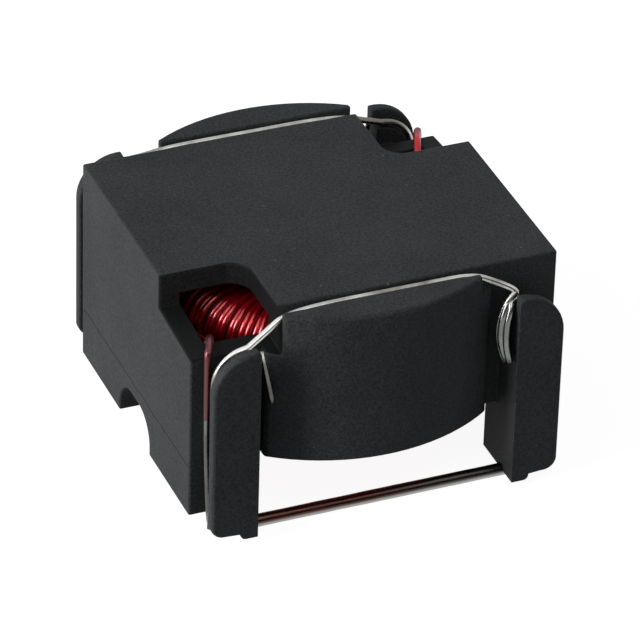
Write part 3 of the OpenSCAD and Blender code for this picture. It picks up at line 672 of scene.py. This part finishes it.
def buildSeam():
    dice = random.Random(seam["seed"])
    strip = bmesh.new()
    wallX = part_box("cap")[1].x / mm
    count = int(2 * seam["halfLength"] / seam["step"])
    for side in (-1, 1):
        rows = []
        for i in range(count + 1):
            y = -seam["halfLength"] + i * seam["step"]
            z = seam["height"] + dice.choice((-1, 0, 0, 1)) * seam["wander"]
            w = seam["halfWidth"] * dice.uniform(*seam["widthSpread"])
            rows.append([strip.verts.new((side * x * mm, y * mm, (z + up) * mm)) for x, up in (
                (wallX - seam["sunk"], -w), (wallX + seam["proud"], 0), (wallX - seam["sunk"], w))])
        for near, far in zip(rows, rows[1:]):
            for k in range(3):
                strip.faces.new([near[k], far[k], far[(k + 1) % 3], near[(k + 1) % 3]])
        strip.faces.new(rows[0])
        strip.faces.new(rows[-1])
    bmesh.ops.recalc_face_normals(strip, faces=strip.faces)
    mesh = bpy.data.meshes.new("mouldSeam")
    strip.to_mesh(mesh)
    strip.free()
    # nearly black: painted shadow along the flash line
    mesh.materials.append(capSeamShadow)
    addPiece("mouldSeam", mesh, None, "cap_plastic")
    print("seam: faces", len(mesh.polygons))


buildSeam()

# The camera as fitted to the photograph
view = {"azimuth": -22.85, "elevation": 33.32, "roll": 1.76,  # degrees
        "distance": 238, "target": (0.227, -0.147, 4.885), "lens": 300.8, "sensor": 36, "nearest": 5}  # mm


def placeCamera():
    az, el, roll = (math.radians(view[k]) for k in ("azimuth", "elevation", "roll"))
    back = Vector((math.sin(az) * math.cos(el), -math.cos(az) * math.cos(el), math.sin(el)))
    right = Vector((math.cos(az), math.sin(az), 0))
    up = back.cross(right)
    across = right * math.cos(roll) + up * math.sin(roll)
    over = up * math.cos(roll) - right * math.sin(roll)
    eye = (Vector(view["target"]) + back * view["distance"]) * mm
    lens = bpy.data.cameras.new("photoCamera")
    lens.lens = view["lens"]
    lens.sensor_width = view["sensor"]
    lens.sensor_fit = "HORIZONTAL"
    lens.clip_start = view["nearest"] * mm
    camera = bpy.data.objects.new("photoCamera", lens)
    camera.matrix_world = Matrix([[across.x, over.x, back.x, eye.x], [across.y, over.y, back.y, eye.y],
                                  [across.z, over.z, back.z, eye.z], [0, 0, 0, 1]])
    bpy.context.scene.collection.objects.link(camera)
    bpy.context.scene.camera = camera
    print("camera placed")


placeCamera()

# A tall soft lamp on the left, a weak wide one high in front, an even white room, and behind the camera a brown card
# that only reflections see, for the dark side of the bright wires; metres and watts
studio = {"key": {"at": (-0.319, -0.018, 0.137), "size": 0.16, "height": 0.3, "power": 1.56},
          "fill": {"at": (0.01, -0.26, 0.427), "size": 0.24, "height": 0.13, "power": 0.2},
          "aim": (0, 0, 0.005), "room": 0.25, "floorSize": 0.8, "floorColour": "#8a8a8a", "floorGlow": 0.92,
          "card": {"at": (0, -0.45, 0.21), "size": (1.6, 0.42), "colour": "#5e4d48", "rough": 0.9}}


def seenDirectly(tree):
    rays = addNode(tree, "ShaderNodeLightPath").outputs
    mirror = addNode(tree, "ShaderNodeMath", {"operation": "MAXIMUM"},
                     {0: rays["Is Camera Ray"], 1: rays["Is Glossy Ray"]})
    clear = addNode(tree, "ShaderNodeMath", {"operation": "MAXIMUM"},
                    {0: mirror.outputs[0], 1: rays["Is Transmission Ray"]})
    return clear.outputs[0]


def addStage(name, corners, material):
    mesh = bpy.data.meshes.new(name)
    mesh.from_pydata(corners, [], [tuple(range(len(corners)))])
    mesh.materials.append(material)
    sheet = bpy.data.objects.new(name, mesh)
    bpy.context.scene.collection.objects.link(sheet)
    return sheet


def lightStudio():
    for name in ("key", "fill"):
        lamp = bpy.data.lights.new(name + "Lamp", "AREA")
        lamp.shape = "RECTANGLE"
        lamp.size = studio[name]["size"]
        lamp.size_y = studio[name]["height"]
        lamp.energy = studio[name]["power"]
        holder = bpy.data.objects.new(name + "Lamp", lamp)
        holder.location = studio[name]["at"]
        aim = Vector(studio["aim"]) - holder.location
        holder.rotation_euler = aim.to_track_quat("-Z", "Y").to_euler()
        bpy.context.scene.collection.objects.link(holder)
    world = bpy.data.worlds.new("whiteRoom")
    bpy.context.scene.world = world
    world.use_nodes = True
    tree = world.node_tree
    level = addNode(tree, "ShaderNodeMapRange", None,
                    {"Value": seenDirectly(tree), "To Min": studio["room"], "To Max": 1.0})
    setInputs(tree, tree.nodes["Background"], {"Color": toLinear("#ffffff"), "Strength": level.outputs[0]})


def layFloor():
    paper = bpy.data.materials.new("paleStudioPaper")  # matte paper, so bright that only the shadow shows
    paper.use_nodes = True
    tree = paper.node_tree
    tree.nodes.remove(tree.nodes["Principled BSDF"])
    matte = addNode(tree, "ShaderNodeBsdfDiffuse", None, {"Color": toLinear(studio["floorColour"])})
    glow = addNode(tree, "ShaderNodeMath", {"operation": "MULTIPLY"}, {0: seenDirectly(tree), 1: studio["floorGlow"]})
    light = addNode(tree, "ShaderNodeEmission", None, {"Strength": glow.outputs[0]})
    both = addNode(tree, "ShaderNodeAddShader", None, {0: matte.outputs[0], 1: light.outputs[0]})
    tree.links.new(both.outputs[0], tree.nodes["Material Output"].inputs["Surface"])
    reach = studio["floorSize"]
    addStage("paleFloor", [(-reach, -reach, 0), (reach, -reach, 0), (reach, reach, 0), (-reach, reach, 0)], paper)


def standCard():
    card = studio["card"]
    x, y, z = card["at"]
    wide, tall = card["size"][0] / 2, card["size"][1] / 2
    umber = bpy.data.materials.new("umberStudioCard")  # dull brown card
    umber.use_nodes = True
    setInputs(umber.node_tree, umber.node_tree.nodes["Principled BSDF"],
              {"Base Color": toLinear(card["colour"]), "Roughness": card["rough"]})
    board = addStage("darkCard", [(x - wide, y, z + tall), (x + wide, y, z + tall), (x + wide, y, z - tall),
                                  (x - wide, y, z - tall)], umber)
    board.visible_camera, board.visible_diffuse, board.visible_shadow = False, False, False


lightStudio()
layFloor()
standCard()
bpy.context.scene.view_settings.view_transform = "Standard"
print("studio lit")
